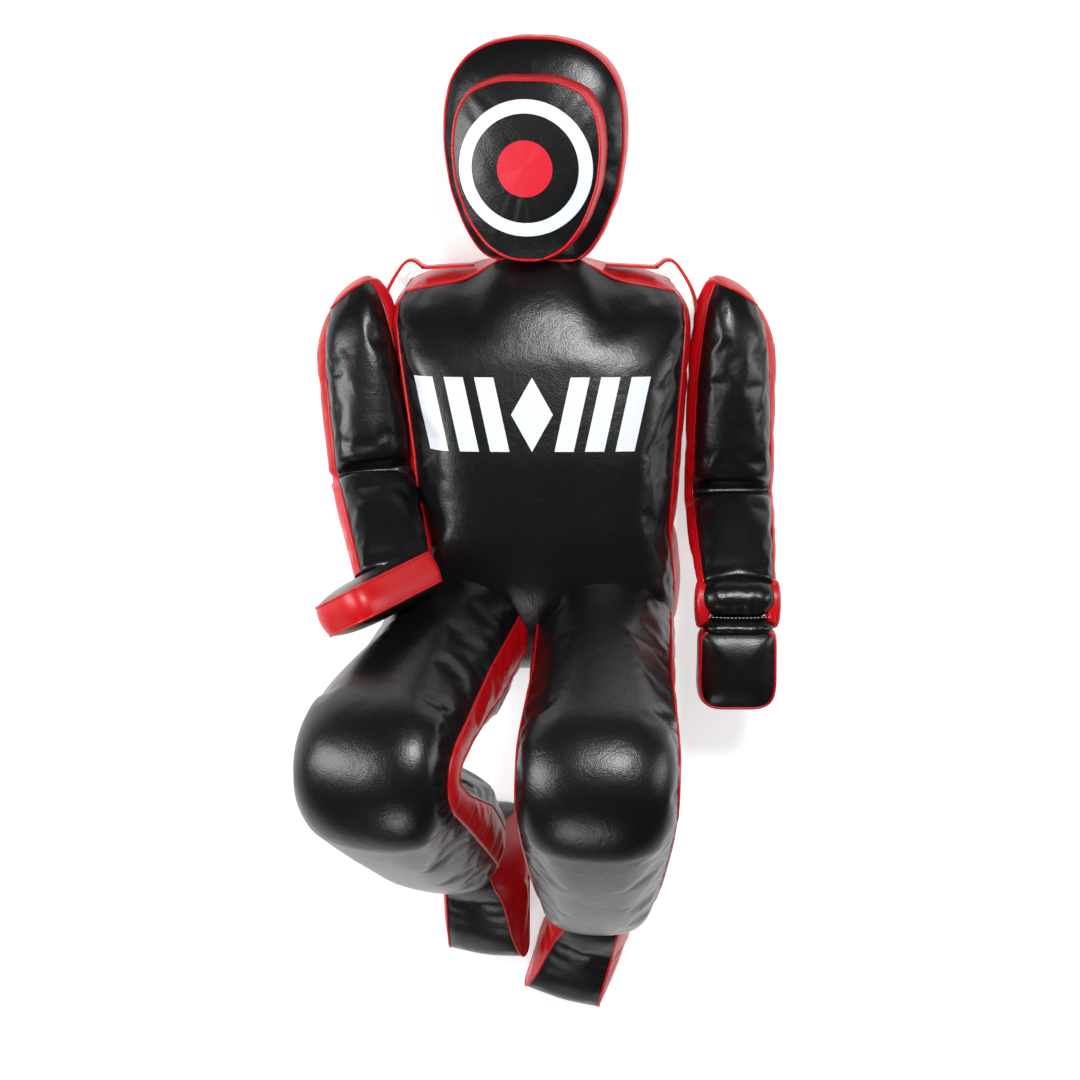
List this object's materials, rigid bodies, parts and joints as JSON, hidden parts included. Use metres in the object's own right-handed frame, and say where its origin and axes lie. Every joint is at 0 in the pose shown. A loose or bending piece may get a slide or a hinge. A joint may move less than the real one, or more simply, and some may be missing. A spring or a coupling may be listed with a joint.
{
  "type": "grappling dummy",
  "caption": "Person-sized stuffed vinyl training dummy with a padded target head, strapped-on arms, mitt hands, bent legs and wedge feet.",
  "frame": {"origin": "middle of the waist on the flat of the back, which rests on the floor plane", "axes": "+Z from the back to the front of the dummy, +Y from the waist towards the head, +X towards the left hand"},
  "size_m": [0.6335, 1.3316, 0.4995],
  "materials": {
    "black_vinyl": "gloss",
    "red_vinyl": "gloss",
    "white_print": "satin",
    "red_print": "satin",
    "stuffing": "matte"
  },
  "bodies": {
    "torso": {"chest_emblem": "white_print", "shoulder_strap_bases": "red_vinyl", "torso_back_panel": "black_vinyl", "torso_fill": "stuffing", "torso_front_panel": "black_vinyl", "torso_gussets": "red_vinyl"},
    "neck": {"neck_fill": "stuffing", "neck_gussets": "red_vinyl", "neck_panels": "black_vinyl"},
    "head": {"face_fill": "stuffing", "face_gusset": "red_vinyl", "face_panel": "black_vinyl", "head_fill": "stuffing", "hood_back_panel": "black_vinyl", "hood_front_panel": "black_vinyl", "hood_gusset": "red_vinyl", "target_dot": "red_print", "target_ring": "white_print"},
    "right_shoulder_strap": {"right_shoulder_strap": "red_vinyl"},
    "right_upper_arm": {"right_upper_arm_fill": "stuffing", "right_upper_arm_gussets": "red_vinyl", "right_upper_arm_panels": "black_vinyl"},
    "right_forearm": {"right_forearm_fill": "stuffing", "right_forearm_gussets": "red_vinyl", "right_forearm_panels": "black_vinyl"},
    "right_hand": {"right_hand_fill": "stuffing", "right_hand_gussets": "red_vinyl", "right_hand_panels": "black_vinyl"},
    "right_thigh": {"right_thigh_fill": "stuffing", "right_thigh_gussets": "red_vinyl", "right_thigh_panels": "black_vinyl"},
    "right_shin": {"right_shin_fill": "stuffing", "right_shin_gussets": "red_vinyl", "right_shin_panels": "black_vinyl"},
    "right_foot": {"right_foot_fill": "stuffing", "right_foot_gussets": "red_vinyl", "right_foot_panels": "black_vinyl"},
    "left_shoulder_strap": {"left_shoulder_strap": "red_vinyl"},
    "left_upper_arm": {"left_upper_arm_fill": "stuffing", "left_upper_arm_gussets": "red_vinyl", "left_upper_arm_panels": "black_vinyl"},
    "left_forearm": {"left_forearm_fill": "stuffing", "left_forearm_gussets": "red_vinyl", "left_forearm_panels": "black_vinyl"},
    "left_hand": {"left_hand_fill": "stuffing", "left_hand_gussets": "red_vinyl", "left_hand_panels": "black_vinyl"},
    "left_thigh": {"left_thigh_fill": "stuffing", "left_thigh_gussets": "red_vinyl", "left_thigh_panels": "black_vinyl"},
    "left_shin": {"left_shin_fill": "stuffing", "left_shin_gussets": "red_vinyl", "left_shin_panels": "black_vinyl"},
    "left_foot": {"left_foot_fill": "stuffing", "left_foot_gussets": "red_vinyl", "left_foot_panels": "black_vinyl"}
  },
  "joints": [
    {"name": "neck_nod", "type": "hinge", "parent": "torso", "child": "neck", "pos_m": [0, 0.322, 0.082], "axis": [1, 0, 0], "range_deg": [-20, 20]},
    {"name": "head_turn", "type": "hinge", "parent": "neck", "child": "head", "pos_m": [0, 0.322, 0.082], "axis": [0, 0.9945, 0.1045], "range_deg": [-50, 68]},
    {"name": "right_arm_spread", "type": "hinge", "parent": "torso", "child": "right_shoulder_strap", "pos_m": [-0.158, 0.348, 0.084], "axis": [0, 0, 1], "range_deg": [-60, 0]},
    {"name": "right_arm_raise", "type": "hinge", "parent": "right_shoulder_strap", "child": "right_upper_arm", "pos_m": [-0.239, 0.318, 0.084], "axis": [0.9949, 0.1012, 0], "range_deg": [-110, 0]},
    {"name": "right_elbow", "type": "hinge", "parent": "right_upper_arm", "child": "right_forearm", "pos_m": [-0.215, 0.082, 0.112], "axis": [0.9933, 0.0928, -0.0689], "range_deg": [-38, 1]},
    {"name": "right_wrist", "type": "hinge", "parent": "right_forearm", "child": "right_hand", "pos_m": [-0.197, -0.026, 0.226], "axis": [0.6548, 0.4489, 0.6081], "range_deg": [-24, 8]},
    {"name": "right_hip", "type": "hinge", "parent": "torso", "child": "right_thigh", "pos_m": [-0.087, -0.095, 0.098], "axis": [1, 0, 0], "range_deg": [-4, 60]},
    {"name": "right_knee", "type": "hinge", "parent": "right_thigh", "child": "right_shin", "pos_m": [-0.194, -0.216, 0.41], "axis": [0.9469, -0.0088, 0.3213], "range_deg": [-110, 5]},
    {"name": "right_ankle", "type": "hinge", "parent": "right_shin", "child": "right_foot", "pos_m": [-0.093, -0.447, 0.106], "axis": [0.9549, 0, 0.297], "range_deg": [-20, 20]},
    {"name": "left_arm_spread", "type": "hinge", "parent": "torso", "child": "left_shoulder_strap", "pos_m": [0.16, 0.348, 0.08], "axis": [0, 0, 1], "range_deg": [0, 60]},
    {"name": "left_arm_raise", "type": "hinge", "parent": "left_shoulder_strap", "child": "left_upper_arm", "pos_m": [0.248, 0.318, 0.08], "axis": [1, 0.0075, 0], "range_deg": [-110, 0]},
    {"name": "left_elbow", "type": "hinge", "parent": "left_upper_arm", "child": "left_forearm", "pos_m": [0.25, 0.052, 0.074], "axis": [0.9999, 0.0078, -0.0113], "range_deg": [-38, 44]},
    {"name": "left_wrist", "type": "hinge", "parent": "left_forearm", "child": "left_hand", "pos_m": [0.252, -0.048, 0.182], "axis": [1, 0, 0], "range_deg": [-100, 14]},
    {"name": "left_hip", "type": "hinge", "parent": "torso", "child": "left_thigh", "pos_m": [0.087, -0.095, 0.098], "axis": [1, 0, 0], "range_deg": [-14, 26]},
    {"name": "left_knee", "type": "hinge", "parent": "left_thigh", "child": "left_shin", "pos_m": [0.068, -0.232, 0.406], "axis": [0.9984, -0.0212, 0.0521], "range_deg": [-110, 5]},
    {"name": "left_ankle", "type": "hinge", "parent": "left_shin", "child": "left_foot", "pos_m": [0.078, -0.528, 0.094], "axis": [0.9549, -0.297, 0], "range_deg": [-20, 20]}
  ]
}
